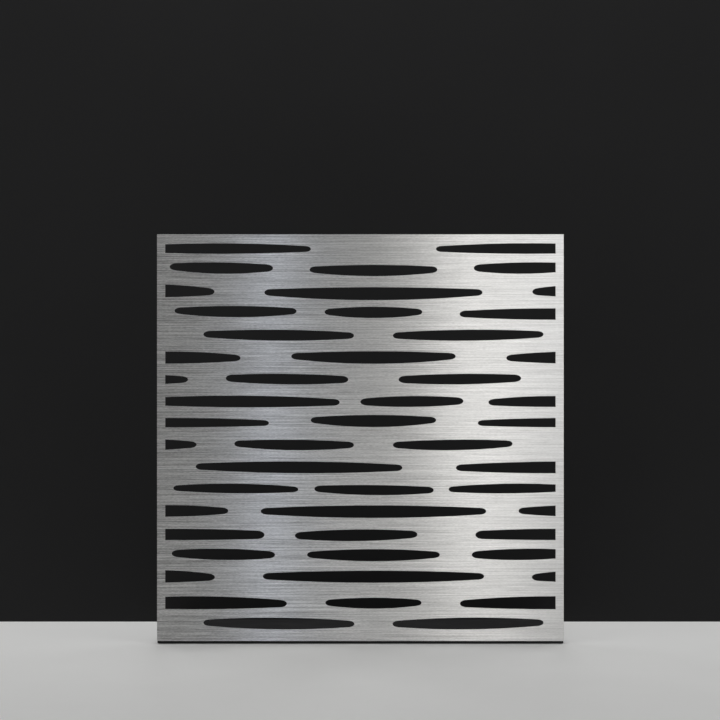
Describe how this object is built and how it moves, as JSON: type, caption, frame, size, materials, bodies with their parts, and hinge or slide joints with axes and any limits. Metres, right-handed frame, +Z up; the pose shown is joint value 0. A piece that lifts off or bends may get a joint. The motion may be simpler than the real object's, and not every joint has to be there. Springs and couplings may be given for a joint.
{
  "type": "decorative metal panel",
  "caption": "Free-standing square decorative screen: a brushed steel sheet with long lens-shaped slots on a slim black frame and base plate.",
  "frame": {"origin": "on the floor, under the middle of the base plate", "axes": "+Z up, +X to the right of someone facing the front, the slotted face looks along -Y"},
  "size_m": [1, 0.35, 1.007],
  "materials": {
    "sheet_steel": "stainless steel, brushed along its width",
    "black_coat": "matt black powder coat with a fine texture",
    "fastener_steel": "plain stainless, lightly tumbled",
    "cap_plastic": "moulded black plastic",
    "pad_rubber": "black rubber"
  },
  "bodies": {
    "root": {"face_sheet": "sheet_steel", "left_stile": "black_coat", "right_stile": "black_coat", "top_rail": "black_coat", "bottom_rail": "black_coat", "top_left_corner_plate": "black_coat", "top_right_corner_plate": "black_coat", "bottom_left_corner_plate": "black_coat", "bottom_right_corner_plate": "black_coat", "corner_screws": "fastener_steel", "weld_studs": "fastener_steel", "stud_washers": "fastener_steel", "stud_nuts": "fastener_steel", "left_stile_cap": "cap_plastic", "right_stile_cap": "cap_plastic", "base_plate": "black_coat", "left_spigot": "fastener_steel", "right_spigot": "fastener_steel", "spigot_base_screws": "fastener_steel", "spigot_clamp_screws": "fastener_steel", "rail_rivet_nuts": "fastener_steel", "rail_base_screws": "fastener_steel", "base_pads": "pad_rubber"}
  },
  "joints": []
}
